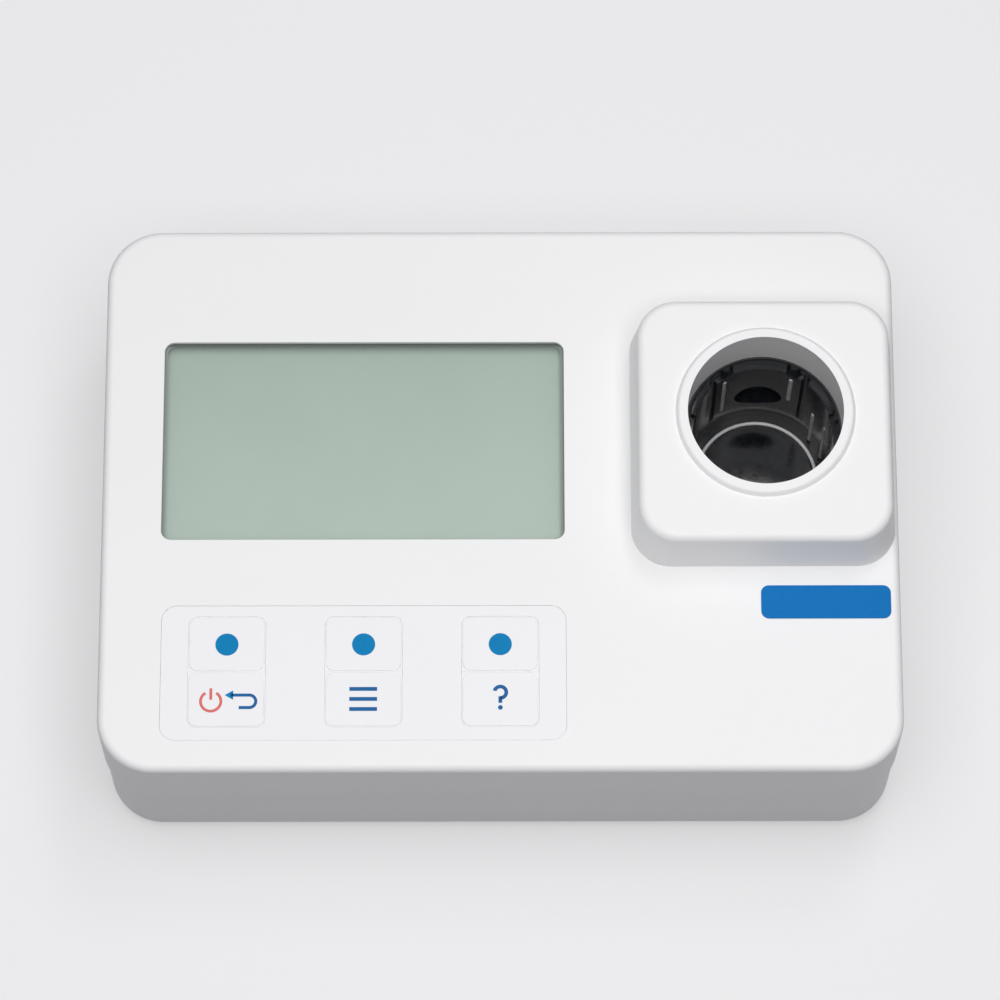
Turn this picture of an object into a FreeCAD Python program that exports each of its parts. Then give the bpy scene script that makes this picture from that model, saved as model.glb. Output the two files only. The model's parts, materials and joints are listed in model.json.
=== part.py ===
"""Portable photometer: a sealed hand-held casing with a display, six keys and a well for a sample cell.

Sizes are in millimetres. The origin is on the surface that the feet stand on, under the middle of the
casing. For someone reading the display +X is to the right, +Y is to the back and +Z is up.
"""

import FreeCAD
import Part
import math
import os

Vector = FreeCAD.Vector
UP = Vector(0, 0, 1)
BACK = Vector(0, 1, 0)
RIGHT = Vector(1, 0, 0)

# Casing
case_length = 142.5
case_width = 102.5
case_corner = 10.0
face_height = 38.0
parting_height = 22.0
foot_height = 1.6
wall = 3.0
face_wall = 2.6
floor_wall = 2.6
lip_overhang = 0.35
face_edge = 1.3
floor_edge = 2.2

# Cord seal between the two halves, in a groove of the upper rim
groove_width = 1.4
groove_depth = 1.4
groove_from_inside = 0.7

# Raised block round the well
block_from_right = 24.25
block_y = 10.3
block_length = 47.1
block_width = 47.6
block_height = 11.5
block_draft = 1.3
block_corner = 8.6
block_edge = 1.0
block_wall = 3.0

# Well for the sample cell: a white rim and lining moulded with the block, and a black holder below
well_from_right = 24.05
well_y = 11.6
well_radius = 12.6
well_floor_height = 13.0
well_floor_wall = 3.0
holder_size = 31.0
holder_top_height = 39.2
holder_seal_thickness = 0.5
lining_radius = 13.85
rim_radius = 14.95
rim_rise = 1.0
rim_slope = 0.6

# Mounting flange of the cell holder, clamped up against a square block under the rim
holder_flange_size = 34.0
holder_flange_height = 33.0
holder_flange_thickness = 3.0
clamp_wall = 1.3

# Light path, level and along Y through the well
optics_height = 24.0
optics_size = 16.0
channel_size = 9.0
port_size = 6.0
port_glass_size = 9.0
port_glass_thickness = 1.5
pad_reach = 17.5
lamp_tunnel_length = 32.1
detector_tunnel_length = 8.0
optics_fit = 0.05
side_board_size = 20.0
side_board_thickness = 1.4
lamp_size = 5.0
lamp_thickness = 1.6
lamp_window_size = 3.0
lamp_window_height = 0.6
lens_flange_thickness = 1.2
lens_bulge = 1.4
filter_thickness = 3.0
splitter_thickness = 0.8
splitter_length = 11.0
collimator_from_lamp = 6.0
filter_from_collimator = 2.0
splitter_from_well = 11.5
focus_from_well = 2.4
reference_size = 6.0
reference_thickness = 2.4
signal_size = 8.0
signal_thickness = 2.6

# Display
display_from_left = 46.75
display_back_share = 0.1024
display_length = 72.1
display_width = 37.7
display_corner = 1.8
display_lip = 0.8
gasket_thickness = 0.4
gasket_setback = 0.5
pane_overlap = 2.85
pane_fit = 0.1
lcd_frame_overlap = 3.45
lcd_frame_width_overlap = 3.75
lcd_glass_overlap = 1.45
lcd_glass_width_overlap = 1.75
lcd_glass_thickness = 2.4
lcd_ledge = 2.0
lcd_ledge_width = 2.5
lcd_top_gap = 0.4
light_guide_thickness = 4.0
strip_width = 2.0
strip_length = 64.0

# Main board
board_thickness = 1.6
board_from_left = 6.25
board_holder_gap = 3.7
board_side_gap = 4.25
board_notch_length = 7.5
board_notch_width = 6.5
board_post_size = 5.0
board_post_mat_gap = 0.2
board_post_right_inset = 7.0
board_post_back_left_inset = 15.0
board_post_back_inset = 3.5
board_post_frame_gap = 0.6
key_post_size = 4.0
key_post_from_rows = 9.0
buzzer_from_rows = 3.0
buzzer_size = 9.0
buzzer_height = 3.2
processor_size = 7.0
chip_size = 4.5
chip_height = 1.4
chip_pitch = 10.0
first_chip_from_display = 14.5
socket_length = 4.0
socket_width = 8.0
socket_height = 4.0

# Keys: three columns of two, in a thin panel let into the face
key_panel_from_left = 47.05
key_panel_from_front = 18.05
key_panel_length = 71.8
key_panel_width = 24.9
key_panel_corner = 2.8
key_panel_thickness = 0.8
key_panel_fit = 0.1
key_column_pitch = 24.2
key_row_pitch = 10.2
key_rows_from_panel = 0.2
key_length = 13.4
key_width = 9.95
key_corner_cut = 0.6
key_side_gap = 0.15
key_proud = 0.1
key_flange_overhang = 1.1
key_flange_thickness = 1.0
key_flange_gap = 0.15
key_stem_size = 4.4
key_stem_length = 0.8
key_travel = 0.5
key_stop_gap = 0.1
mat_thickness = 1.0
mat_pad_height = 1.0
mat_pad_size = 5.6
mat_rim = 1.5
mat_side_room = 0.6
switch_size = 6.0
switch_height = 3.25
switch_button_size = 3.2
switch_button_height = 1.0

# Battery bay on the underside, closed by a round screw cover with a coin slot
bay_from_left = 53.25
bay_y = 0.0
cell_radius = 7.25
cell_length = 50.5
cell_nub_radius = 2.75
cell_nub_length = 1.0
cell_pitch = 15.2
cell_count = 3
cell_room = 0.15
bay_end_room = 5.5
bay_wall = 1.6
contact_thickness = 0.4
contact_size = 10.0
spring_width = 6.0
spring_rise = 4.0
spring_metal = 0.4
spring_nose = 1.0
cover_plate_thickness = 2.8
cover_radius = 38.0
cover_side_gap = 0.2
cover_skirt_wall = 1.6
cover_skirt_height = 2.6
cover_cell_gap = 0.4
cover_seal_thickness = 0.8
cover_seal_fit = 0.1
bay_collar_wall = 2.0
coin_slot_length = 24.0
coin_slot_width = 2.6
coin_slot_depth = 1.5

# Fasteners
case_screw_inset = 8.85
case_column_size = 8.0
case_column_clearance = 0.05
case_screw_radius = 1.45
case_screw_hole_radius = 1.7
case_screw_head_radius = 2.8
case_screw_head_height = 2.4
case_screw_head_room = 0.3
case_screw_seat_height = 10.0
case_screw_reach = 5.0
pilot_radius = 1.5
pilot_spare = 1.0

# Feet
foot_inset_x = 11.25
foot_inset_y = 20.25
foot_size = 10.0

# Stiffening ribs in the lower half
rib_thickness = 1.6
rib_height = 8.0
overlap = 0.5

# Heights and places that follow from the sizes above
case_left = -case_length / 2
case_front = -case_width / 2
block_x = case_length / 2 - block_from_right
well_x = case_length / 2 - well_from_right
display_x = case_left + display_from_left
display_y = display_back_share * case_width
key_panel_x = case_left + key_panel_from_left
key_panel_y = case_front + key_panel_from_front
key_middle_x = key_panel_x
key_rows_y = key_panel_y + key_rows_from_panel
bay_x = case_left + bay_from_left
face_underside = face_height - face_wall
floor_top = foot_height + floor_wall
inner_length = case_length - 2 * wall
inner_width = case_width - 2 * wall
inner_corner = case_corner - wall
lower_length = case_length - 2 * lip_overhang
lower_width = case_width - 2 * lip_overhang
lower_corner = case_corner - lip_overhang
block_top = face_height + block_height
block_ceiling = block_top - block_wall
well_bottom = well_floor_height - well_floor_wall
lining_bottom = holder_top_height + holder_seal_thickness
lamp_face_y = well_y - pad_reach
lamp_end_y = lamp_face_y - lamp_tunnel_length
detector_face_y = well_y + pad_reach
detector_end_y = detector_face_y + detector_tunnel_length
optics_bottom = optics_height - optics_size / 2
lens_thickness = lens_flange_thickness + lens_bulge
collimator_y = lamp_end_y + collimator_from_lamp
filter_y = collimator_y + lens_thickness + filter_from_collimator
splitter_y = lamp_face_y - splitter_from_well
focus_y = lamp_face_y - focus_from_well - lens_thickness
case_screw_x = case_length / 2 - case_screw_inset
case_screw_y = case_width / 2 - case_screw_inset
pane_top = face_height - display_lip - gasket_thickness
lcd_glass_bottom = face_underside - lcd_top_gap - lcd_glass_thickness
key_top = face_height + key_proud
key_flange_top = face_underside - key_flange_gap
key_flange_bottom = key_flange_top - key_flange_thickness
mat_room = key_flange_overhang + mat_side_room + mat_rim
mat_left = key_middle_x - key_column_pitch - key_length / 2 - mat_room
key_bottom = key_flange_bottom - key_stem_length
mat_pad_top = key_bottom - key_travel - key_stop_gap
mat_top = mat_pad_top - mat_pad_height
mat_bottom = mat_top - mat_thickness
board_top = mat_bottom - switch_height
board_height = board_top - board_thickness
board_left = case_left + board_from_left
board_right = well_x - holder_size / 2 - board_holder_gap
board_width = inner_width - 2 * board_side_gap
board_post_left = mat_left - board_post_mat_gap - board_post_size / 2
board_post_right = board_right - board_post_right_inset
lcd_frame_front = display_y - display_width / 2 - lcd_frame_width_overlap
board_post_front = lcd_frame_front - board_post_frame_gap - board_post_size / 2
board_post_back = board_width / 2 - board_post_back_inset
key_window_length = key_length + 2 * key_side_gap
key_window_width = key_row_pitch + key_width + 2 * key_side_gap
cover_top = foot_height + cover_plate_thickness
cell_centre_height = cover_top + cover_cell_gap + cell_radius
cell_cradle_radius = cell_radius + cell_room
bay_top = cell_centre_height + cell_cradle_radius
bay_length = cell_length + bay_end_room
bay_width = (cell_count - 1) * cell_pitch + 2 * cell_cradle_radius
skirt_top = cover_top + cover_skirt_height
skirt_inner_radius = cover_radius - cover_skirt_wall
pocket_radius = cover_radius + cover_side_gap
pocket_top = skirt_top + cover_seal_thickness
bay_collar_half = pocket_radius + bay_collar_wall
case_screw_places = [(sx * case_screw_x, sy * case_screw_y) for sx in (-1, 1) for sy in (-1, 1)]
foot_x = case_length / 2 - foot_inset_x
foot_y = case_width / 2 - foot_inset_y
foot_places = [(sx * foot_x, sy * foot_y) for sx in (-1, 1) for sy in (-1, 1)]
board_post_places = [
    (board_post_left, board_post_front),
    (board_post_right, board_post_front),
    (board_left + board_post_back_left_inset, board_post_back),
    (board_post_right, board_post_back),
]
key_columns = [key_middle_x + step * key_column_pitch for step in (-1, 0, 1)]
key_rows = [key_rows_y + step * key_row_pitch / 2 for step in (1, -1)]
cell_places = [bay_x + (index - (cell_count - 1) / 2) * cell_pitch for index in range(cell_count)]


# Shapes that several pieces are made of

def box(x0, x1, y0, y1, z0, z1):
    return Part.makeBox(x1 - x0, y1 - y0, z1 - z0, Vector(x0, y0, z0))


def post(x, y, z0, z1, radius):
    """An upright round bar."""
    return Part.makeCylinder(radius, z1 - z0, Vector(x, y, z0), UP)


def rod(y0, y1, radius, x=well_x, z=optics_height):
    """A round bar that lies along Y, in the light path unless a place is given."""
    return Part.makeCylinder(radius, y1 - y0, Vector(x, y0, z), BACK)


def rounded_outline(centre, length, width, corner, z):
    """A level rectangle with round corners."""
    arcs = []
    for turn, (sx, sy) in enumerate([(1, 1), (-1, 1), (-1, -1), (1, -1)]):
        middle = Vector(centre[0] + sx * (length / 2 - corner), centre[1] + sy * (width / 2 - corner), z)
        arcs.append(Part.makeCircle(corner, middle, UP, 90 * turn, 90 * (turn + 1)))
    edges = []
    for index, arc in enumerate(arcs):
        following = arcs[(index + 1) % len(arcs)]
        edges.append(arc)
        edges.append(Part.makeLine(arc.Vertexes[-1].Point, following.Vertexes[0].Point))
    return Part.Wire(edges)


def slab(centre, length, width, corner, z0, z1):
    """A plate or block with round upright corners."""
    outline = rounded_outline(centre, length, width, corner, z0)
    return Part.Face(outline).extrude(UP * (z1 - z0))


def block_at(centre, length, width, z0, z1):
    """A plain block round an upright line."""
    x, y = centre
    return box(x - length / 2, x + length / 2, y - width / 2, y + width / 2, z0, z1)


def cut_slab(centre, length, width, cut, z0, z1):
    """A plate or block whose four upright edges are cut off flat."""
    half_length = length / 2
    half_width = width / 2
    corners = []
    for sx, sy, across_first in [(1, 1, False), (-1, 1, True), (-1, -1, False), (1, -1, True)]:
        pair = [(sx * half_length, sy * (half_width - cut)), (sx * (half_length - cut), sy * half_width)]
        corners += reversed(pair) if across_first else pair
    points = [Vector(centre[0] + dx, centre[1] + dy, z0) for dx, dy in corners]
    return Part.Face(Part.makePolygon(points + [points[0]])).extrude(UP * (z1 - z0))


def frame_of(centre, outer, inner, z0, z1):
    """A flat frame: the slab of the outer (length, width, corner) less that of the inner."""
    hole = slab(centre, *inner, z0 - overlap, z1 + overlap)
    return slab(centre, *outer, z0, z1).cut(hole)


def ring(x, y, inner_radius, outer_radius, z0, z1):
    return post(x, y, z0, z1, outer_radius).cut(post(x, y, z0 - overlap, z1 + overlap, inner_radius))


def flat_cornered(centre, length, width, corner, z):
    """A level outline whose round corners are drawn with four short straight sides each."""
    points = []
    for turn, (sx, sy) in enumerate([(1, 1), (-1, 1), (-1, -1), (1, -1)]):
        middle_x = centre[0] + sx * (length / 2 - corner)
        middle_y = centre[1] + sy * (width / 2 - corner)
        for step in range(5):
            angle = (turn + step / 4) * math.pi / 2
            points.append(Vector(middle_x + corner * math.cos(angle), middle_y + corner * math.sin(angle), z))
    return Part.makePolygon(points + [points[0]])


def level_edges(solid, z):
    """The edges that lie at one height."""
    found = []
    for edge in solid.Edges:
        box_of_edge = edge.BoundBox
        if abs(box_of_edge.ZMin - z) < 0.001 and abs(box_of_edge.ZMax - z) < 0.001:
            found.append(edge)
    return found


def turned(points, centre, axis=UP):
    """A turned piece: its (radius, distance along the axis) outline spun round the axis."""
    origin = Vector(*centre)
    corners = [origin + RIGHT * radius + axis * along for radius, along in points]
    outline = Part.makePolygon(corners + [corners[0]])
    return Part.Face(outline).revolve(origin, axis, 360)


def joined(first, others):
    solid = first
    for other in others:
        solid = solid.fuse(other)
    return solid.removeSplitter()


def less(solid, tools):
    for tool in tools:
        solid = solid.cut(tool)
    return solid


def screw(x, y, seat, tip, radius, head_radius, head_height):
    """An upright screw driven from below, its head under the seat."""
    shank = post(x, y, seat - head_height / 2, tip, radius)
    head = post(x, y, seat - head_height, seat, head_radius)
    return head.fuse(shank).removeSplitter()


# Casing

def top_housing():
    """Upper half: the face, the side walls and posts, with a hole in the face under the raised block."""
    shell = slab((0, 0), case_length, case_width, case_corner, parting_height, face_height)
    shell = shell.makeChamfer(face_edge, level_edges(shell, face_height))
    hollow = slab((0, 0), inner_length, inner_width, inner_corner, parting_height - overlap, face_underside)
    shell = less(shell, [hollow, well_room(face_underside - overlap, face_height + overlap)])

    columns = [block_at(place, case_column_size, case_column_size, parting_height, face_underside + overlap)
               for place in case_screw_places]
    board_stops = [block_at(place, board_post_size, board_post_size, board_top, face_underside + overlap)
                   for place in board_post_places]
    shell = joined(shell, columns + board_stops)

    pilot_top = parting_height + case_screw_reach + pilot_spare
    holes = [post(x, y, parting_height - overlap, pilot_top, pilot_radius) for x, y in case_screw_places]
    return less(shell, holes + [seal_groove()] + display_cuts() + key_cuts())


def well_room(z0, z1):
    """The room inside the raised block, between two heights."""
    narrowing = 2 * (block_draft + block_wall)
    corner_cut = (2 - math.sqrt(2)) * (block_corner - block_draft - block_wall)
    return cut_slab((block_x, block_y), block_length - narrowing, block_width - narrowing, corner_cut, z0, z1)


def well_block():
    """The raised block on the face with the rim of the well, and the clamp that lines the well inside it."""
    edge_draft = block_draft * (1 - block_edge / block_height)
    insets = {face_height: 0, block_top - block_edge: edge_draft, block_top: block_draft + block_edge}
    outlines = []
    for z, inset in insets.items():
        outlines.append(flat_cornered((block_x, block_y), block_length - 2 * inset, block_width - 2 * inset,
                                      block_corner - inset, z))
    block = Part.makeLoft(outlines, True, True)
    block = block.cut(well_room(face_height - overlap, block_ceiling))
    block = joined(block, [clamp_block(), well_rim()])
    return block.cut(post(well_x, well_y, lining_bottom - overlap, block_top + rim_rise + overlap,
                          lining_radius))


def well_rim():
    """The raised white rim of the well, still solid inside."""
    rim_top = block_top + rim_rise
    outline = [(0, block_ceiling), (rim_radius, block_ceiling), (rim_radius, block_top),
               (rim_radius - rim_slope, rim_top), (0, rim_top)]
    return turned(outline, (well_x, well_y, 0))


def clamp_block():
    """The square block under the rim. It lines the well and presses on the flange of the cell holder."""
    flange_top = holder_flange_height + holder_flange_thickness
    inside = holder_flange_size - 2 * clamp_wall
    block = block_at((well_x, well_y), holder_flange_size, holder_flange_size, flange_top,
                     block_ceiling + overlap)
    return block.cut(block_at((well_x, well_y), inside, inside, flange_top - overlap, lining_bottom))


def seal_groove():
    """The groove in the upper rim that takes the cord seal."""
    return rim_ring(parting_height - overlap, parting_height + groove_depth)


def rim_ring(z0, z1):
    """A ring that follows the rim, as wide as the groove."""
    far_side = groove_from_inside + groove_width
    outer = (inner_length + 2 * far_side, inner_width + 2 * far_side, inner_corner + far_side)
    inner = (inner_length + 2 * groove_from_inside, inner_width + 2 * groove_from_inside,
             inner_corner + groove_from_inside)
    return frame_of((0, 0), outer, inner, z0, z1)


def display_cuts():
    """The opening for the display, and the step under it that holds the gasket and the pane."""
    centre = (display_x, display_y)
    opening = slab(centre, display_length, display_width, display_corner,
                   face_underside - overlap, face_height + overlap)
    step = block_at(centre, *display_size(pane_overlap, pane_overlap),
                    face_underside - overlap, face_height - display_lip)
    return [opening, step]


def key_cuts():
    """The shallow recess for the key panel, and a window right through for each column of keys."""
    recess = slab((key_panel_x, key_panel_y), key_panel_length + 2 * key_panel_fit,
                  key_panel_width + 2 * key_panel_fit, key_panel_corner + key_panel_fit,
                  face_height - key_panel_thickness, face_height + overlap)
    wider = 2 * key_panel_fit
    windows = [block_at((x, key_rows_y), key_window_length + wider, key_window_width + wider,
                        face_underside - overlap, face_height) for x in key_columns]
    return [recess] + windows


def bottom_housing():
    """Lower half: floor, side walls, screw columns, battery bay, posts and ribs."""
    shell = slab((0, 0), lower_length, lower_width, lower_corner, foot_height, parting_height)
    shell = shell.makeChamfer(floor_edge, level_edges(shell, foot_height))
    room = slab((0, 0), inner_length, inner_width, inner_corner, floor_top, parting_height + overlap)
    shell = shell.cut(room)

    root = floor_top - overlap
    columns = [block_at(place, case_column_size, case_column_size, root, parting_height)
               for place in case_screw_places]
    board_posts = [block_at(place, board_post_size, board_post_size, root, board_height)
                   for place in board_post_places]
    board_posts += [block_at(((key_columns[side] + key_middle_x) / 2, key_rows_y - key_post_from_rows),
                             key_post_size, key_post_size, root, board_height) for side in (0, 2)]
    shell = joined(shell, [bay_outside()] + columns + board_posts + lower_ribs())

    holes = bay_inside()
    for x, y in case_screw_places:
        holes.append(post(x, y, 0, case_screw_seat_height,
                          case_screw_head_radius + case_screw_head_room))
        holes.append(post(x, y, 0, parting_height + overlap, case_screw_hole_radius))
    return less(shell, holes)


def bay_outside():
    """The eight-sided collar round the cover's bore, with the cell bay standing on it."""
    side = 2 * bay_collar_half
    collar = cut_slab((bay_x, bay_y), side, side, (2 - math.sqrt(2)) * bay_collar_half,
                      foot_height + overlap, pocket_top + bay_wall)
    walls = box(bay_x - bay_width / 2 - bay_wall, bay_x + bay_width / 2 + bay_wall,
                bay_y - bay_length / 2 - bay_wall, bay_y + bay_length / 2 + bay_wall,
                pocket_top, bay_top + bay_wall)
    return collar.fuse(walls)


def bay_inside():
    """What is cut from the collar and bay: the cover's bore and three cradles for the cells."""
    pocket = post(bay_x, bay_y, foot_height - overlap, pocket_top, pocket_radius)
    y0 = bay_y - bay_length / 2
    y1 = bay_y + bay_length / 2
    bay = box(bay_x - bay_width / 2, bay_x + bay_width / 2, y0, y1, cover_top, cell_centre_height)
    cradles = [rod(y0, y1, cell_cradle_radius, x, cell_centre_height) for x in cell_places]
    return [pocket, bay] + cradles


def lower_ribs():
    """Ribs that stiffen the floor, and the rests under the light path and the well."""
    low = floor_top - overlap
    high = floor_top + rib_height
    half = rib_thickness / 2
    side = inner_length / 2 + overlap
    end = inner_width / 2 + overlap
    inner_edge = bay_collar_half - overlap
    ribs = [
        box(-side, bay_x - inner_edge, bay_y - half, bay_y + half, low, high),
        box(bay_x - half, bay_x + half, bay_y + inner_edge, end, low, high),
        box(bay_x - half, bay_x + half, -end, bay_y - inner_edge, low, high),
        block_at((well_x, well_y), rib_thickness, holder_size, low, well_bottom),
        box(bay_x + inner_edge, side, well_y - half, well_y + half, low, well_bottom),
    ]
    rest = channel_size / 2
    rest_places = [lamp_face_y - lamp_tunnel_length / 4, lamp_end_y + lamp_tunnel_length / 4,
                   detector_face_y + detector_tunnel_length / 2]
    ribs += [box(well_x - rest, well_x + rest, y - half, y + half, low, optics_bottom) for y in rest_places]
    return ribs


def casing_seals():
    """Cord seal in the groove of the rim, and the flat seal between the lining of the well and the holder."""
    flat = block_at((well_x, well_y), holder_size, holder_size, holder_top_height, lining_bottom)
    hole = post(well_x, well_y, holder_top_height - overlap, lining_bottom + overlap, lining_radius)
    return [rim_ring(parting_height, parting_height + groove_depth), flat.cut(hole)]


def housing_screws():
    tip = parting_height + case_screw_reach
    return [screw(x, y, case_screw_seat_height, tip, case_screw_radius, case_screw_head_radius,
                  case_screw_head_height) for x, y in case_screw_places]


def rubber_feet():
    return [block_at(place, foot_size, foot_size, 0, foot_height) for place in foot_places]


# Display

def display_size(length_overlap, width_overlap):
    return (display_length + 2 * length_overlap, display_width + 2 * width_overlap)


def display_gasket():
    centre = (display_x, display_y)
    top = pane_top + gasket_thickness
    sheet = block_at(centre, *display_size(pane_overlap, pane_overlap), pane_top, top)
    opening = display_size(gasket_setback, gasket_setback)
    return sheet.cut(block_at(centre, *opening, pane_top - overlap, top + overlap))


def display_window():
    """Clear pane, clamped up against the gasket by the display's frame."""
    size = display_size(pane_overlap - pane_fit, pane_overlap - pane_fit)
    return block_at((display_x, display_y), *size, face_underside, pane_top)


def lcd_frame():
    """Open frame that stands on the board and holds the glass, the light guide and the contact strips."""
    centre = (display_x, display_y)
    outside = display_size(lcd_frame_overlap, lcd_frame_width_overlap)
    body = block_at(centre, *outside, board_top, face_underside)
    seat = block_at(centre, *display_size(lcd_glass_overlap + pane_fit, lcd_glass_width_overlap + pane_fit),
                    lcd_glass_bottom, face_underside + overlap)
    opening = block_at(centre, *lcd_opening_size(0), board_top - overlap, face_underside)
    return less(body, [seat, opening] + contact_strips())


def lcd_opening_size(gap):
    """The opening under the glass, narrower than the glass by the ledge that carries it."""
    return display_size(lcd_glass_overlap - lcd_ledge - gap, lcd_glass_width_overlap - lcd_ledge_width - gap)


def lcd_panel():
    size = display_size(lcd_glass_overlap, lcd_glass_width_overlap)
    return block_at((display_x, display_y), *size, lcd_glass_bottom, lcd_glass_bottom + lcd_glass_thickness)


def light_guide():
    """Lit plate behind the glass."""
    return block_at((display_x, display_y), *lcd_opening_size(pane_fit), board_top,
                    board_top + light_guide_thickness)


def contact_strips():
    """Two rubber strips that carry the signals from the board to the glass."""
    from_middle = display_width / 2 + lcd_glass_width_overlap - lcd_ledge_width / 2
    return [block_at((display_x, display_y + side * from_middle), strip_length, strip_width,
                     board_top, lcd_glass_bottom) for side in (-1, 1)]


# Keys

def key_panel():
    """Thin panel flush with the face, open where the keys come through."""
    plate = slab((key_panel_x, key_panel_y), key_panel_length, key_panel_width, key_panel_corner,
                 face_height - key_panel_thickness, face_height)
    windows = [cut_slab((x, key_rows_y), key_window_length, key_window_width, key_corner_cut,
                        face_underside, face_height + overlap) for x in key_columns]
    return less(plate, windows)


def key(x, y):
    """One key: the cap, the flange that keeps it in its window and the stem that presses the mat."""
    cap = cut_slab((x, y), key_length, key_width, key_corner_cut, key_flange_bottom, key_top)
    flange = block_at((x, y), key_length + 2 * key_flange_overhang, key_width - 2 * key_corner_cut,
                      key_flange_bottom, key_flange_top)
    stem = block_at((x, y), key_stem_size, key_stem_size, key_bottom, key_flange_top)
    return less(joined(cap, [flange, stem]), column_room())


def column_room():
    """The space that the upper screw columns take, with their clearance."""
    side = case_column_size + 2 * case_column_clearance
    return [block_at(place, side, side, parting_height, face_height) for place in case_screw_places]


def keypad_mat():
    """Rubber tray that keeps water out, with a pad under each key and a rim against the face."""
    length = 2 * (key_middle_x - mat_left)
    width = key_window_width + 2 * (mat_side_room + mat_rim)
    centre = (key_middle_x, key_rows_y)
    tray = block_at(centre, length, width, mat_bottom, face_underside)
    inside = block_at(centre, length - 2 * mat_rim, width - 2 * mat_rim, mat_top, face_underside + overlap)
    pads = [block_at((x, y), mat_pad_size, mat_pad_size, mat_bottom, mat_pad_top)
            for x in key_columns for y in key_rows]
    return less(joined(tray.cut(inside), pads), column_room())


def key_switches():
    """Six push switches on the board, their buttons against the mat."""
    switches = []
    for x in key_columns:
        for y in key_rows:
            body = block_at((x, y), switch_size, switch_size, board_top, mat_bottom - switch_button_height)
            button = block_at((x, y), switch_button_size, switch_button_size, board_top, mat_bottom)
            switches.append(joined(body, [button]))
    return switches


# Main board

def main_board():
    half = board_width / 2
    board = box(board_left, board_right, -half, half, board_height, board_top)
    middle_x = board_left + board_notch_length / 2
    middle_y = half - board_notch_width / 2
    notches = [block_at((middle_x - overlap, side * (middle_y + overlap)), board_notch_length + 2 * overlap,
                        board_notch_width + 2 * overlap, board_height - overlap, board_top + overlap)
               for side in (-1, 1)]
    return less(board, notches)


def board_chips():
    """Processor, memory and two amplifiers in a row under the board, and a socket at each end."""
    chips = []
    for index, size in enumerate([processor_size, chip_size, chip_size, chip_size]):
        place = (board_post_right, display_y - first_chip_from_display + index * chip_pitch)
        chips.append(block_at(place, size, size, board_height - chip_height, board_height))
    for y in (board_post_front - chip_pitch, board_post_back - chip_pitch):
        chips.append(block_at((board_right - socket_length / 2, y), socket_length, socket_width,
                              board_height - socket_height, board_height))
    return chips


def buzzer():
    place = (board_post_right - buzzer_from_rows, key_rows_y + buzzer_from_rows)
    return block_at(place, buzzer_size, buzzer_size, board_height - buzzer_height, board_height)


# Well and cell holder

def cuvette_holder():
    """Black block with the bore for the sample cell, its flange, two flat pads and two light ports."""
    centre = (well_x, well_y)
    body = block_at(centre, holder_size, holder_size, well_bottom, holder_top_height)
    flange = block_at(centre, holder_flange_size, holder_flange_size,
                      holder_flange_height, holder_flange_height + holder_flange_thickness)
    pads = block_at(centre, optics_size, 2 * pad_reach, optics_bottom, holder_flange_height)
    holder = joined(body, [flange, pads])
    bore = post(well_x, well_y, well_floor_height, holder_top_height + overlap, well_radius)
    port = across_light(port_size, lamp_face_y - overlap, detector_face_y + overlap)
    return less(holder, [bore, port] + holder_windows())


def holder_windows():
    """Two small square panes that close the light ports."""
    return [across_light(port_glass_size, lamp_face_y, lamp_face_y + port_glass_thickness),
            across_light(port_glass_size, detector_face_y - port_glass_thickness, detector_face_y)]


# Light path

def across_light(size, y0, y1):
    """A square block centred on the light path."""
    half = size / 2
    return box(well_x - half, well_x + half, y0, y1, optics_height - half, optics_height + half)


def tunnel(y0, y1):
    """Square black tunnel with a square channel."""
    return across_light(optics_size, y0, y1).cut(across_light(channel_size, y0 - overlap, y1 + overlap))


def optics_housing():
    """Tunnel on the lamp side, with a pocket in its right wall for the reference detector."""
    half = reference_size / 2
    pocket = box(well_x, well_x + optics_size / 2 + overlap, splitter_y - half, splitter_y + half,
                 optics_height - half, optics_height + half)
    return tunnel(lamp_end_y, lamp_face_y).cut(pocket)


def detector_housing():
    return tunnel(detector_face_y, detector_end_y)


def lamp_board():
    return across_light(side_board_size, lamp_end_y - side_board_thickness, lamp_end_y)


def detector_board():
    return across_light(side_board_size, detector_end_y, detector_end_y + side_board_thickness)


def lamp_led():
    """Square lamp on its board, with a raised window on the front."""
    front = lamp_end_y + lamp_thickness
    window = across_light(lamp_window_size, front, front + lamp_window_height)
    return joined(across_light(lamp_size, lamp_end_y, front), [window])


def lens(y0):
    """A moulded square lens that fits the channel, its far side curved from left to right."""
    half = channel_size / 2 - optics_fit
    edge = y0 + lens_flange_thickness
    left = Vector(well_x - half, edge, optics_height - half)
    right = Vector(well_x + half, edge, optics_height - half)
    middle = Vector(well_x, edge + lens_bulge, optics_height - half)
    base = across_light(2 * half, y0, edge)
    bow = Part.Wire([Part.Arc(left, middle, right).toShape(), Part.makeLine(right, left)])
    return joined(base, [Part.Face(bow).extrude(UP * (2 * half))])


def interference_filter():
    return across_light(channel_size - 2 * optics_fit, filter_y, filter_y + filter_thickness)


def beam_splitter():
    """Thin glass at 45 degrees that sends part of the light to the reference detector."""
    height = channel_size - 2 * optics_fit
    plate = Part.makeBox(splitter_length, splitter_thickness, height,
                         Vector(-splitter_length / 2, -splitter_thickness / 2, -height / 2))
    plate.rotate(Vector(0, 0, 0), UP, 45)
    plate.translate(Vector(well_x, splitter_y, optics_height))
    return plate


def reference_detector():
    half = reference_size / 2 - optics_fit
    outside = well_x + optics_size / 2
    return box(outside - reference_thickness, outside, splitter_y - half, splitter_y + half,
               optics_height - half, optics_height + half)


def signal_detector():
    return across_light(signal_size, detector_end_y - signal_thickness, detector_end_y)


# Batteries and cover

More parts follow.
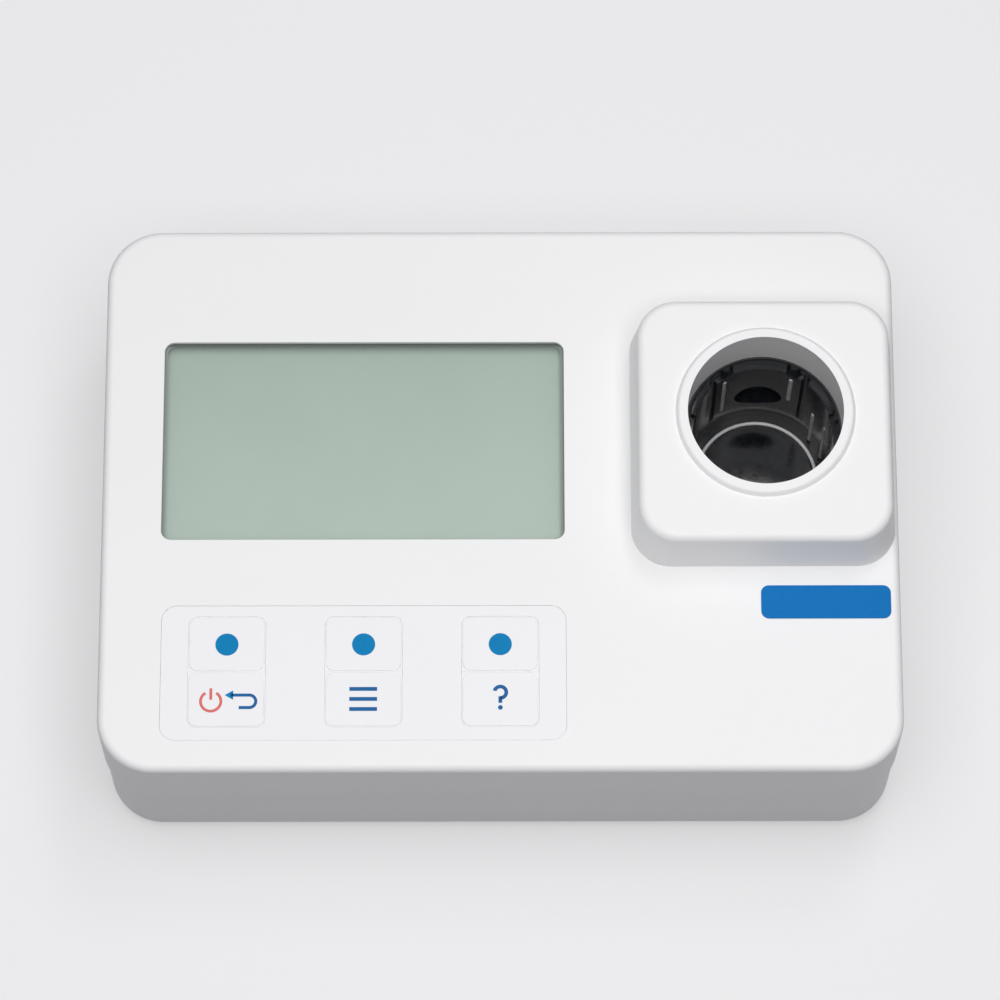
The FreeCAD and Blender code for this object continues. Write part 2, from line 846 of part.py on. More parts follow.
def battery_cell(index):
    """One cell. Its neighbours point the other way, so that the three are in series."""
    facing = cell_facing(index)
    tip = bay_y + facing * (bay_length / 2 - contact_thickness)
    shoulder = tip - facing * cell_nub_length
    end = tip - facing * cell_length
    x = cell_places[index]
    body = rod(min(shoulder, end), max(shoulder, end), cell_radius, x, cell_centre_height)
    nub = rod(min(shoulder, tip), max(shoulder, tip), cell_nub_radius, x, cell_centre_height)
    return joined(body, [nub])


def cell_facing(index):
    """1 where the raised end of a cell points to the back, -1 where it points to the front."""
    return 1 if index % 2 == 0 else -1


def contact_plates():
    """Metal plates on the end walls of the bay, two for each cell."""
    plates = []
    half = contact_size / 2
    for x in cell_places:
        for side in (-1, 1):
            end = bay_y + side * bay_length / 2
            inside = end - side * contact_thickness
            plates.append(box(x - half, x + half, min(end, inside), max(end, inside),
                              cell_centre_height - half, cell_centre_height + half))
    return plates


def contact_springs():
    """A leaf spring behind each cell, bent from a strip, between its flat end and the plate."""
    reach = bay_length - 2 * contact_thickness - cell_length
    inner_reach = reach - spring_metal
    foot = spring_rise - 2 * spring_metal
    outline = [(0, -spring_rise), (reach, -spring_nose), (reach, spring_nose), (0, spring_rise),
               (0, foot), (inner_reach, 0), (0, -foot)]
    springs = []
    for index, x in enumerate(cell_places):
        facing = cell_facing(index)
        plate = bay_y - facing * (bay_length / 2 - contact_thickness)
        corners = [Vector(x - spring_width / 2, plate + facing * along, cell_centre_height + up)
                   for along, up in outline]
        springs.append(Part.Face(Part.makePolygon(corners + [corners[0]])).extrude(RIGHT * spring_width))
    return springs


def battery_cover():
    """Round screw cover, flush with the underside, with a skirt for its thread and a coin slot."""
    cup = post(bay_x, bay_y, foot_height, skirt_top, cover_radius)
    room = post(bay_x, bay_y, cover_top, skirt_top + overlap, skirt_inner_radius)
    slot = block_at((bay_x, bay_y), coin_slot_length, coin_slot_width, foot_height - overlap,
                    foot_height + coin_slot_depth)
    return less(cup, [room, slot])


def cover_seal():
    """Flat ring on the end of the skirt, pressed against the bottom of the bore."""
    return ring(bay_x, bay_y, skirt_inner_radius, cover_radius - cover_seal_fit, skirt_top, pocket_top)


pieces = {
    "top_housing": top_housing(),
    "well_block": well_block(),
    "bottom_housing": bottom_housing(),
    "casing_seals": casing_seals(),
    "housing_screws": housing_screws(),
    "rubber_feet": rubber_feet(),
    "display_gasket": display_gasket(),
    "display_window": display_window(),
    "lcd_frame": lcd_frame(),
    "lcd_panel": lcd_panel(),
    "light_guide": light_guide(),
    "contact_strips": contact_strips(),
    "key_panel": key_panel(),
    "keypad_mat": keypad_mat(),
    "key_switches": key_switches(),
    "main_board": main_board(),
    "board_chips": board_chips(),
    "buzzer": buzzer(),
    "cuvette_holder": cuvette_holder(),
    "holder_windows": holder_windows(),
    "optics_housing": optics_housing(),
    "lamp_led": lamp_led(),
    "lamp_board": lamp_board(),
    "collimating_lens": lens(collimator_y),
    "interference_filter": interference_filter(),
    "beam_splitter": beam_splitter(),
    "focusing_lens": lens(focus_y),
    "reference_detector": reference_detector(),
    "detector_housing": detector_housing(),
    "signal_detector": signal_detector(),
    "detector_board": detector_board(),
    "battery_cover": battery_cover(),
    "cover_seal": cover_seal(),
    "contact_plates": contact_plates(),
    "contact_springs": contact_springs(),
}
for number in range(cell_count):
    pieces[f"battery_{number + 1}"] = battery_cell(number)
key_names = [["soft_key_left", "power_key"], ["soft_key_middle", "menu_key"], ["soft_key_right", "help_key"]]
for column, names in zip(key_columns, key_names):
    for row, name in zip(key_rows, names):
        pieces[name] = key(column, row)

os.makedirs("parts", exist_ok=True)
for name, piece in pieces.items():
    shape = Part.makeCompound(piece) if isinstance(piece, list) else piece
    shape.exportStep(f"parts/{name}.step")
    state = "valid" if shape.isValid() else "NOT VALID"
    print(name, len(shape.Solids), "solids", round(shape.Volume, 1), "mm3", state)
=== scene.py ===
# %% [markdown]
# # Portable photometer
#
# A small sealed instrument that measures the colour of a water sample. It has a white moulded casing, a
# display, six keys in a thin panel and a raised block with a round well for the sample cell. The solids
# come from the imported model. This file adds rounded casing parts, prints, materials, light and camera.

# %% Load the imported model
import json
import math

import bpy
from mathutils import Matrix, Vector


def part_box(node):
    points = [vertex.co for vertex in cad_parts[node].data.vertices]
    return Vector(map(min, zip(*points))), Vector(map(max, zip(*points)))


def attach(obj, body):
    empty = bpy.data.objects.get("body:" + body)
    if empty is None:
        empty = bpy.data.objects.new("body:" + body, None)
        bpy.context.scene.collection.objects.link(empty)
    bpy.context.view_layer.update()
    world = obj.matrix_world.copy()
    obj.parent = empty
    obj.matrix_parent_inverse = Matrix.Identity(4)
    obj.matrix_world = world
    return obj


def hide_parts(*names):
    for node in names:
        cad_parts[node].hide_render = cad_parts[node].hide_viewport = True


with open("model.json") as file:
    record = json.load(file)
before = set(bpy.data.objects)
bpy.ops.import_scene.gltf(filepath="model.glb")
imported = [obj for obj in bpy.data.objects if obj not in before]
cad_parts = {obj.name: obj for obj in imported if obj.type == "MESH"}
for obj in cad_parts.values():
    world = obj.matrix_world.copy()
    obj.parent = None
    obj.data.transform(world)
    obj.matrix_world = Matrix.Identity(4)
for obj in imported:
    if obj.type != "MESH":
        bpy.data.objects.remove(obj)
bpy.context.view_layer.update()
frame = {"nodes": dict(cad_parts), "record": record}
nodes = frame["nodes"]
MM = 0.001
bpy.ops.object.select_all(action="DESELECT")

# %% [markdown]
# ## Camera
#
# The photograph looks down on the instrument from the front, about 70 degrees above the horizon, from a
# little under a metre away. A long lens frames the instrument alone from the same place, so that its
# proportions stay as they are there.

# %% Camera
CAMERA_PLACE = Vector((-0.0005, -0.2938, 0.8775))
CAMERA_AIM = Vector((0.0, -0.0011, 0.0385))
CAMERA_LENS = 178.9

lens = bpy.data.cameras.new("camera")
lens.lens = CAMERA_LENS
lens.sensor_width = 36
camera = bpy.data.objects.new("camera", lens)
camera.location = CAMERA_PLACE
camera.rotation_euler = (CAMERA_AIM - CAMERA_PLACE).to_track_quat("-Z", "Y").to_euler()
bpy.context.scene.collection.objects.link(camera)
bpy.context.scene.camera = camera
print("camera distance", round((CAMERA_AIM - CAMERA_PLACE).length, 3))

# %% [markdown]
# ## Tools for modelling
#
# Every new piece starts as a primitive at its size and place and is then shaped. An operator works on all
# that is selected, so these helpers clear the selection first and pick edges by where they lie. Sizes are
# written in millimetres, as on a drawing, and each piece keeps its place in its mesh.

# %% Start a piece
def activate(piece):
    """Selects one piece and nothing else."""
    bpy.ops.object.select_all(action="DESELECT")
    piece.select_set(True)
    bpy.context.view_layer.objects.active = piece


def settle(name):
    """Names the newest piece and moves its place and size into its mesh."""
    piece = bpy.context.object
    bpy.ops.object.transform_apply(location=True, rotation=True, scale=True)
    piece.name = name
    return piece


def block(name, x0, x1, y0, y1, z0, z1):
    """A box between six planes."""
    bpy.ops.object.select_all(action="DESELECT")
    low = Vector((x0, y0, z0)) * MM
    high = Vector((x1, y1, z1)) * MM
    bpy.ops.mesh.primitive_cube_add(size=1, location=(low + high) / 2)
    bpy.context.object.scale = high - low
    return settle(name)


def square(name, centre, reach, z0, z1):
    """An upright square bar that reaches equally far to all four sides."""
    x, y = centre
    return block(name, x - reach, x + reach, y - reach, y + reach, z0, z1)


def drum(name, x, y, z0, z1, radius, sides=96):
    """An upright round bar."""
    bpy.ops.object.select_all(action="DESELECT")
    bpy.ops.mesh.primitive_cylinder_add(vertices=sides, radius=radius * MM, depth=(z1 - z0) * MM,
                                        location=(x * MM, y * MM, (z0 + z1) / 2 * MM))
    return settle(name)


# %% Shape a piece
def pick_edges(piece, chosen):
    """Opens a piece with the edges selected whose two ends, in millimetres, are chosen."""
    activate(piece)
    bpy.ops.object.mode_set(mode="EDIT")
    bpy.ops.mesh.select_mode(type="EDGE")
    bpy.ops.mesh.select_all(action="DESELECT")
    bpy.ops.object.mode_set(mode="OBJECT")
    points = [vertex.co / MM for vertex in piece.data.vertices]
    for edge in piece.data.edges:
        first, second = edge.vertices
        edge.select = chosen(points[first], points[second])
    bpy.ops.object.mode_set(mode="EDIT")


def round_edges(piece, chosen, radius, steps):
    """Rounds the chosen edges."""
    pick_edges(piece, chosen)
    bpy.ops.mesh.bevel(offset=radius * MM, segments=steps, affect="EDGES")
    bpy.ops.object.mode_set(mode="OBJECT")


def upright(first, second):
    """An edge that rises from one level to another."""
    return abs(first.z - second.z) > 0.1


def at_level(z):
    """Chooses the edges that lie at one height."""
    return lambda first, second: abs(first.z - z) < 0.01 and abs(second.z - z) < 0.01


def combine(piece, other, operation):
    """Adds another piece to this one, or cuts it away."""
    activate(piece)
    change = piece.modifiers.new("combine", "BOOLEAN")
    change.operation = operation
    change.object = other
    change.solver = "EXACT"
    bpy.ops.object.modifier_apply(modifier=change.name)
    bpy.data.objects.remove(other)


def add(piece, *others):
    for other in others:
        combine(piece, other, "UNION")


def cut(piece, *others):
    for other in others:
        combine(piece, other, "DIFFERENCE")


def soften(piece, width, steps=2, corner=40):
    """Breaks every sharp edge that is left, as a mould does, and smooths the shading."""
    activate(piece)
    change = piece.modifiers.new("soften", "BEVEL")
    change.width = width * MM
    change.segments = steps
    change.limit_method = "ANGLE"
    change.angle_limit = math.radians(corner)
    bpy.ops.object.modifier_apply(modifier=change.name)
    smooth(piece)


def smooth(piece):
    """Smooth shading that keeps flat faces flat."""
    activate(piece)
    bpy.ops.object.shade_smooth_by_angle(angle=math.radians(45))
    change = piece.modifiers.new("flat faces", "WEIGHTED_NORMAL")
    change.keep_sharp = True
    bpy.ops.object.modifier_apply(modifier=change.name)


def slab(name, centre, length, width, corner, z0, z1, steps=10):
    """A plate with round upright corners."""
    x, y = centre
    plate = block(name, x - length / 2, x + length / 2, y - width / 2, y + width / 2, z0, z1)
    round_edges(plate, upright, corner, steps)
    return plate


# %% [markdown]
# ## Upper half of the casing
#
# The real one is a single white moulding: a shallow tray turned upside down, with generous corners, a soft
# edge round its face and the block for the well standing on it. It could be drawn as one surface, but a
# body and a block that are rounded on their own and then joined give the same shape with less work. The
# openings are cut last, so that their edges stay crisp.

# %% Sizes of the casing
CASE = (142.5, 102.5)
CASE_CORNER = 10.0
WALL = 3.0
PARTING = 22.0
FACE = 38.0
CEILING = 35.4
BLOCK = (47.0, 10.3)
BLOCK_FOOT = (47.56, 48.06)
BLOCK_HEAD = (44.7, 45.2)
BLOCK_ROOM = (38.5, 39.0)
BLOCK_TOP = 49.5
RIM_TOP = 50.5
RIM_FOOT_RADIUS = 16.0
RIM_HEAD_RADIUS = 15.45
LINING_RADIUS = 13.85
WELL = (47.2, 11.6)
DISPLAY = (-24.5, 10.5)
DISPLAY_SIZE = (72.1, 37.7)
KEY_PANEL = (-24.2, -33.2)
KEY_COLUMNS = (-48.4, -24.2, 0.0)
KEY_ROWS_MIDDLE = -33.0
KEY_PITCH = 10.2
KEY_SIZE = (13.4, 9.95)
KEY_CORNER = 1.5
KEY_GAP = 0.15
HAIRLINE = 0.02
PANEL_SIZE = (71.8, 24.9)
PANEL_CORNER = 2.8
inside = (CASE[0] - 2 * WALL, CASE[1] - 2 * WALL)

# %% Body and block
casing_top = slab("casing_top", (0, 0), *CASE, CASE_CORNER, PARTING, FACE, steps=18)
round_edges(casing_top, at_level(FACE), 1.5, 6)

reach_x, reach_y = [size / 2 for size in BLOCK_FOOT]
well_block = block("well_block", BLOCK[0] - reach_x, BLOCK[0] + reach_x,
                   BLOCK[1] - reach_y, BLOCK[1] + reach_y, FACE - 2, BLOCK_TOP)
pick_edges(well_block, at_level(BLOCK_TOP))
bpy.ops.transform.resize(value=(BLOCK_HEAD[0] / BLOCK_FOOT[0], BLOCK_HEAD[1] / BLOCK_FOOT[1], 1),
                         center_override=Vector((*BLOCK, BLOCK_TOP)) * MM)
bpy.ops.object.mode_set(mode="OBJECT")
round_edges(well_block, upright, 7.0, 16)
round_edges(well_block, at_level(BLOCK_TOP), 1.3, 6)
add(casing_top, well_block)
print("casing faces", len(casing_top.data.polygons))

# %% Rim, hollow and openings
rim = drum("rim", *WELL, BLOCK_TOP, RIM_TOP, RIM_FOOT_RADIUS, sides=128)
pick_edges(rim, at_level(RIM_TOP))
narrower = RIM_HEAD_RADIUS / RIM_FOOT_RADIUS
bpy.ops.transform.resize(value=(narrower, narrower, 1), center_override=Vector((*WELL, RIM_TOP)) * MM)
bpy.ops.object.mode_set(mode="OBJECT")
round_edges(rim, at_level(RIM_TOP), 0.3, 4)
add(casing_top, rim, drum("rim_root", *WELL, BLOCK_TOP - 1, BLOCK_TOP + 0.2, 15.4, sides=128))

cut(casing_top,
    slab("hollow", (0, 0), *inside, CASE_CORNER - WALL, PARTING - 1, CEILING),
    slab("room", BLOCK, *BLOCK_ROOM, 4.3, CEILING - 1, BLOCK_TOP - WALL))
add(casing_top, square("clamp", WELL, 17, 36, BLOCK_TOP - 2))
cut(casing_top,
    square("clamp_hollow", WELL, 15.7, 35, 39.7),
    drum("mouth", *WELL, 39, BLOCK_TOP + 2, LINING_RADIUS, sides=128),
    drum("behind_lip", *WELL, 39, RIM_TOP - 1.1, LINING_RADIUS + 0.3, sides=128))

key_windows = []
for x in KEY_COLUMNS:
    window = slab("window", (x, KEY_ROWS_MIDDLE), KEY_SIZE[0] + 0.5, KEY_PITCH + KEY_SIZE[1] + 0.5,
                  KEY_CORNER + 0.25, CEILING - 1, FACE)
    key_windows.append(window)
LIP = 0.8
pane_length, pane_width = [size + 5.7 for size in DISPLAY_SIZE]
recess_length, recess_width = [size + 2 * HAIRLINE for size in PANEL_SIZE]
cut(casing_top,
    slab("display_opening", DISPLAY, *DISPLAY_SIZE, 1.8, CEILING - 1, FACE + 1),
    slab("pane_seat", DISPLAY, pane_length, pane_width, 2.0, CEILING - 1, FACE - LIP),
    slab("panel_recess", KEY_PANEL, recess_length, recess_width, PANEL_CORNER, FACE - LIP, FACE + 1),
    *key_windows)
soften(casing_top, 0.2, steps=3)
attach(casing_top, "casing")
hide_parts("top_housing", "well_block")
print("upper half", len(casing_top.data.polygons), "faces")

# %% [markdown]
# ## Lower half of the casing
#
# It is a plain tub with the battery bay moulded in. It is a touch smaller than the upper half, so that the
# joint between them reads as a fine shadow line. The bay and the screw holes show from below, and when the
# battery cover is off.

# %% Tub
TUB = (141.8, 101.8)
FLOOR = 1.6
COVER_AXIS = (-18.0, 0.0)
CELL_HEIGHT = 12.05
CELL_PLACES = (-33.2, -18.0, -2.8)
SCREWS = [(sx * 62.4, sy * 42.4) for sx in (-1, 1) for sy in (-1, 1)]

casing_bottom = slab("casing_bottom", (0, 0), *TUB, CASE_CORNER - 0.35, FLOOR, PARTING, steps=18)
round_edges(casing_bottom, at_level(FLOOR), 2.2, 6)
cut(casing_bottom, slab("tub_room", (0, 0), *inside, CASE_CORNER - WALL, 4.2, PARTING + 1))

COVER_SEAT = 7.8
collar = square("collar", COVER_AXIS, 40.2, FLOOR + 0.5, 9.4)
round_edges(collar, upright, 23.5, 1)
bay_wall = block("bay_wall", COVER_AXIS[0] - 24.2, COVER_AXIS[0] + 24.2, -29.6, 29.6, COVER_SEAT, 21.05)
add(casing_bottom, collar, bay_wall)


def lying_drum(name, x, z, y0, y1, radius, sides=48):
    """A round bar that lies along Y."""
    bpy.ops.object.select_all(action="DESELECT")
    bpy.ops.mesh.primitive_cylinder_add(vertices=sides, radius=radius * MM, depth=(y1 - y0) * MM,
                                        location=(x * MM, (y0 + y1) / 2 * MM, z * MM),
                                        rotation=(math.pi / 2, 0, 0))
    return settle(name)


cut(casing_bottom,
    drum("cover_bore", *COVER_AXIS, FLOOR - 1, COVER_SEAT, 38.2, sides=128),
    block("bay", COVER_AXIS[0] - 22.6, COVER_AXIS[0] + 22.6, -28, 28, 4.4, CELL_HEIGHT),
    *[lying_drum("cradle", x, CELL_HEIGHT, -28, 28, 7.4) for x in CELL_PLACES])
for x, y in SCREWS:
    add(casing_bottom, square("column", (x, y), 4, 3.7, PARTING))
for x, y in SCREWS:
    cut(casing_bottom,
        drum("sink", x, y, 0, 10, 3.1, sides=48),
        drum("hole", x, y, 9, PARTING + 1, 1.7, sides=32))
soften(casing_bottom, 0.2, steps=3)
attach(casing_bottom, "casing")
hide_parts("bottom_housing")
print("lower half", len(casing_bottom.data.polygons), "faces")

# %% [markdown]
# ## Key panel and keys
#
# A thin plate lies flush in the face, and six caps come through it. On the real one the edges catch so
# little shade that the keys read as faint outlines. That look comes from narrow gaps and small rounded
# edges, and not from drawn lines.

# %% Panel
panel = slab("key_plate", KEY_PANEL, *PANEL_SIZE, PANEL_CORNER, FACE - LIP, FACE)
for x in KEY_COLUMNS:
    cut(panel, slab("window", (x, KEY_ROWS_MIDDLE), KEY_SIZE[0] + 2 * KEY_GAP,
                    KEY_PITCH + KEY_SIZE[1] + 2 * KEY_GAP, KEY_CORNER + KEY_GAP, FACE - 2, FACE + 1))
soften(panel, 0.12, steps=2)
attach(panel, "casing")
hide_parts("key_panel")

# %% Keys
KEY_TOP = 38.1
SHOULDER = FACE - 0.1
KEY_BODIES = {
    "soft_key_left": (-48.4, 1), "soft_key_middle": (-24.2, 1), "soft_key_right": (0.0, 1),
    "power_key": (-48.4, -1), "menu_key": (-24.2, -1), "help_key": (0.0, -1),
}


def key_cap(name, x, row):
    """A low shoulder that fills the window, the raised cap on it, and the flange and stem below."""
    y = KEY_ROWS_MIDDLE + row * KEY_PITCH / 2
    reach = KEY_GAP - HAIRLINE
    inner = KEY_ROWS_MIDDLE + row * HAIRLINE / 2
    outer = y + row * (KEY_SIZE[1] / 2 + reach)
    shoulder = block("shoulder", x - KEY_SIZE[0] / 2 - reach, x + KEY_SIZE[0] / 2 + reach,
                     min(inner, outer), max(inner, outer), 34.25, SHOULDER)
    round_edges(shoulder, lambda first, second: upright(first, second) and abs(first.y - outer) < 0.01,
                KEY_CORNER + reach, 6)
    cap = slab(name, (x, y), *KEY_SIZE, KEY_CORNER, 34.5, KEY_TOP, steps=6)
    round_edges(cap, at_level(KEY_TOP), 0.18, 3)
    add(cap, shoulder, block("flange", x - 7.8, x + 7.8, y - 4.3, y + 4.3, 34.25, 35.25),
        square("stem", (x, y), 2.2, 33.45, 34.75))
    smooth(cap)
    return cap


key_caps = {}
for body, (x, row) in KEY_BODIES.items():
    cap = key_cap(body + "_cap", x, row)
    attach(cap, body)
    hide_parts(body)
    key_caps[body] = (cap, x, KEY_ROWS_MIDDLE + row * KEY_PITCH / 2)
print("keys", len(key_caps))

# %% [markdown]
# ## Prints on the keys
#
# Each print is a film of ink, drawn as a plate a few hundredths of a millimetre high, so that it keeps its
# crisp edge at any distance. Bars come from cubes and arcs from a small face that is spun round a centre.
# The prints ride on their keys, and so they sink with them.

# %% Ink helpers
INK_LOW = KEY_TOP - 0.03
INK_HIGH = KEY_TOP + 0.05


def bar(name, x, y, length, width):
    """A straight stroke along X."""
    return block(name, x - length / 2, x + length / 2, y - width / 2, y + width / 2, INK_LOW, INK_HIGH)


def arc(name, x, y, radius, width, start, sweep):
    """A bent stroke: a small upright face, spun round a centre."""
    bpy.ops.object.select_all(action="DESELECT")
    bpy.ops.mesh.primitive_plane_add(size=1, location=(radius * MM, 0, (INK_LOW + INK_HIGH) / 2 * MM),
                                     rotation=(math.pi / 2, 0, 0))
    stroke = bpy.context.object
    stroke.scale = (width * MM, (INK_HIGH - INK_LOW) * MM, 1)
    stroke = settle(name)
    bpy.ops.object.mode_set(mode="EDIT")
    bpy.ops.mesh.select_all(action="SELECT")
    bpy.ops.mesh.spin(steps=36, angle=-math.radians(sweep), center=(0, 0, 0), axis=(0, 0, 1))
    bpy.ops.mesh.select_all(action="SELECT")
    bpy.ops.mesh.remove_doubles(threshold=0.000001)
    bpy.ops.mesh.normals_make_consistent(inside=False)
    bpy.ops.object.mode_set(mode="OBJECT")
    stroke.rotation_euler = (0, 0, math.radians(start))
    stroke.location = (x * MM, y * MM, 0)
    return settle(name)


def join(name, *strokes):
    """Makes one mesh of several strokes."""
    activate(strokes[0])
    for stroke in strokes[1:]:
        stroke.select_set(True)
    bpy.ops.object.join()
    return settle(name)


# %% Dots of the soft keys
prints = {}
for body, (cap, x, y) in key_caps.items():
    if body.startswith("soft"):
        dot = drum(body + "_dot", x, y - 0.1, INK_LOW, INK_HIGH, 2.05, sides=64)
        round_edges(dot, at_level(INK_HIGH), 0.03, 1)
        prints[body] = [dot]

# %% Power and back
cap, x, y = key_caps["power_key"]
y = y - 0.4
ring = arc("power_ring", x - 2.7, y, 1.8, 0.5, 122, 296)
tick = block("power_tick", x - 2.95, x - 2.45, y + 0.3, y + 2.4, INK_LOW, INK_HIGH)
power_mark = join("power_mark", ring, tick)

lower_run = bar("lower_run", x + 3.2, y - 1.15, 1.9, 0.55)
turn = arc("turn", x + 4.1, y, 1.15, 0.55, -90, 180)
upper_run = bar("upper_run", x + 2.5, y + 1.15, 3.3, 0.55)
back_mark = join("back_mark", lower_run, turn, upper_run)
bpy.ops.object.select_all(action="DESELECT")
head_place = Vector((x + 0.75, y + 1.15, (INK_LOW + INK_HIGH) / 2)) * MM
bpy.ops.mesh.primitive_cylinder_add(vertices=3, radius=1.0 * MM, depth=(INK_HIGH - INK_LOW) * MM,
                                    location=head_place, rotation=(0, 0, math.radians(90)))
head = settle("back_head")
prints["power_key"] = [power_mark, back_mark, head]

# %% Menu and help
cap, x, y = key_caps["menu_key"]
rows = [bar("menu_row", x, y + step * 1.85, 4.9, 0.7) for step in (-1, 0, 1)]
prints["menu_key"] = [join("menu_mark", *rows)]

cap, x, y = key_caps["help_key"]
hook = arc("hook", x, y + 1.2, 1.05, 0.66, -90, 255)
stem = block("stem", x - 0.33, x + 0.33, y - 0.75, y + 0.45, INK_LOW, INK_HIGH)
point = drum("point", x, y - 1.6, INK_LOW, INK_HIGH, 0.42, sides=24)
prints["help_key"] = [join("help_mark", hook, stem, point)]

for body, marks in prints.items():
    for mark in marks:
        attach(mark, body)
print("prints", sum(len(marks) for marks in prints.values()))

# %% [markdown]
# ## Label plate
#
# A small blue plate lies on the face, right of the display, below the block. It is left bare here. A plate
# with round corners and a broken edge catches the light as the real one does.

# %% Label plate
label_plate = slab("label_plate", (57.9, -20.2), 23.1, 6.2, 1.4, FACE - 0.05, FACE + 0.15, steps=8)
round_edges(label_plate, at_level(FACE + 0.15), 0.06, 2)
smooth(label_plate)
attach(label_plate, "casing")

# %% [markdown]
# ## Border of the display
#
# Under the edge of its opening the display has a thin dark border, which is wider at the back than at the
# front. It is drawn like the marks on the keys, as a very low frame on the pane. Its back strip is darker:
# painted shade under the back wall of the opening.

# %% Display border
PANE_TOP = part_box("display_window")[1][2] / MM
BORDER_SIDE = 0.5
BORDER_BACK = 0.5
BORDER_FRONT = 0.1
border = slab("display_border", DISPLAY, DISPLAY_SIZE[0] + 0.6, DISPLAY_SIZE[1] + 0.6, 2.1,
              PANE_TOP, PANE_TOP + 0.03)
middle = (DISPLAY[0], DISPLAY[1] - (BORDER_BACK - BORDER_FRONT) / 2)
view_length = DISPLAY_SIZE[0] - 2 * BORDER_SIDE
view_width = DISPLAY_SIZE[1] - BORDER_BACK - BORDER_FRONT
cut(border, slab("view", middle, view_length, view_width, 1.3, PANE_TOP - 1, PANE_TOP + 1))
smooth(border)
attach(border, "casing")
print("pane top", round(PANE_TOP, 2), "border faces", len(border.data.polygons))

# %% [markdown]
# ## Holder for the sample cell
#
# Below the white mouth sits a polished black holder with a deep round bore. Its top edge is notched. Two
# shallow grooves and a few slim ribs run down its wall. The ribs guide the cell, and their pale crests are
# painted highlights for the narrow bright streaks that show from above. A floor with a round recess carries
# a thin pale ring.

# %% Holder body
WELL_FLOOR = 13.0
WELL_RADIUS = 12.6
HOLDER_TOP = 39.2
OPTICS_LEVEL = 24.0
holder = slab("holder", WELL, 31, 31, 2.0, 10, HOLDER_TOP, steps=5)
add(holder,
    slab("flange", WELL, 34, 34, 1.5, 33, 36, steps=4),
    block("pads", WELL[0] - 8, WELL[0] + 8, -5.9, 29.1, 16, 33))
cut(holder,
    drum("bore", *WELL, WELL_FLOOR, 45, WELL_RADIUS, sides=128),
    drum("floor_recess", *WELL, 12.0, 20, 10.8, sides=96),
    lying_drum("lamp_port", WELL[0], OPTICS_LEVEL, -8, WELL[1], 2.6),
    lying_drum("detector_port", WELL[0], OPTICS_LEVEL + 0.3, WELL[1], 32, 4.3))


def round_the_well(angle, reach):
    """A place on a circle round the well."""
    turn = math.radians(angle)
    return WELL[0] + reach * math.cos(turn), WELL[1] + reach * math.sin(turn)


# %% Step, grooves and notches
cut(holder, drum("step", *WELL, 37.6, 45, 13.35, sides=128))
NOTCHES = (12, 64, 118, 168, 212, 256, 302, 336)
GROOVES = (52, 132)
for angle in NOTCHES:
    cut(holder, drum("notch", *round_the_well(angle, 13.3), 36.4, 45, 1.3, sides=20))
for angle in GROOVES:
    cut(holder, drum("groove", *round_the_well(angle, 12.9), WELL_FLOOR + 6, 45, 0.7, sides=24))
soften(holder, 0.25, steps=3, corner=50)
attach(holder, "casing")
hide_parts("cuvette_holder")

# %% Ring on the floor of the well
bpy.ops.object.select_all(action="DESELECT")
bpy.ops.mesh.primitive_torus_add(major_radius=11.1 * MM, minor_radius=0.32 * MM, major_segments=96,
                                 minor_segments=12, location=(WELL[0] * MM, WELL[1] * MM, 13.1 * MM))
floor_ring = settle("floor_ring")
smooth(floor_ring)
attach(floor_ring, "casing")

# %% Guide ribs
RIBS = ((121, 21, 35.5), (64, 25, 35.5), (38, 13.5, 27), (20, 13.5, 29), (205, 14.5, 30), (255, 14.5, 30))
ribs = []
for angle, low, high in RIBS:
    rib = drum("rib", *round_the_well(angle, 12.84), low, high, 0.5, sides=24)
    round_edges(rib, lambda first, second: not upright(first, second), 0.3, 3)
    ribs.append(rib)
ribs = join("guide_ribs", *ribs)
smooth(ribs)
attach(ribs, "casing")
print("holder", len(holder.data.polygons), "faces, ribs", len(ribs.data.polygons))

# %% [markdown]
# ## Feet, screws and battery cover
#
# These show only from below. Each starts from the size that the solids give it, and gets what a plain
# solid lacks: rounded feet, cross recesses in the screw heads, a broken edge and a coin slot in the cover.

# %% Feet
feet = []
for x, y in [(sx * 60, sy * 31) for sx in (-1, 1) for sy in (-1, 1)]:
    foot = slab("foot", (x, y), 10, 10, 3.2, 0, 1.6, steps=6)
    round_edges(foot, at_level(0), 0.5, 3)
    feet.append(foot)
feet = join("feet", *feet)
smooth(feet)
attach(feet, "casing")
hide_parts("rubber_feet")

# %% Screws
screws = []
for x, y in SCREWS:
    screw = drum("screw", x, y, 7.6, 10, 2.8, sides=48)
    round_edges(screw, at_level(7.6), 0.5, 3)
    cut(screw,
        block("slot_a", x - 1.5, x + 1.5, y - 0.35, y + 0.35, 7, 8.9),
        block("slot_b", x - 0.35, x + 0.35, y - 1.5, y + 1.5, 7, 8.9))
    add(screw, drum("shank", x, y, 9.5, 21, 1.5, sides=32))
    screws.append(screw)
screws = join("screws", *screws)
smooth(screws)
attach(screws, "casing")
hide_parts("housing_screws")

# %% Battery cover
cover = drum("cover_cap", *COVER_AXIS, FLOOR, 7.0, 38.0, sides=160)
round_edges(cover, at_level(FLOOR), 0.5, 4)
cut(cover,
    drum("cover_room", *COVER_AXIS, 4.4, 8, 36.4, sides=160),
    slab("coin_slot", COVER_AXIS, 24, 2.6, 1.0, 0, FLOOR + 1.5, steps=4))
soften(cover, 0.2, steps=2)
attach(cover, "cover")
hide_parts("battery_cover")
print("underside pieces", len(feet.data.polygons), len(screws.data.polygons), len(cover.data.polygons))

# %% [markdown]
# ## Sums in materials
#
# A material is a small net of nodes. Written one by one, a sum of two patterns takes many lines, so the
# class below lets plain Python signs add the nodes. Every pattern reads Object coordinates, which stay on
# the piece when it moves and are in metres here.

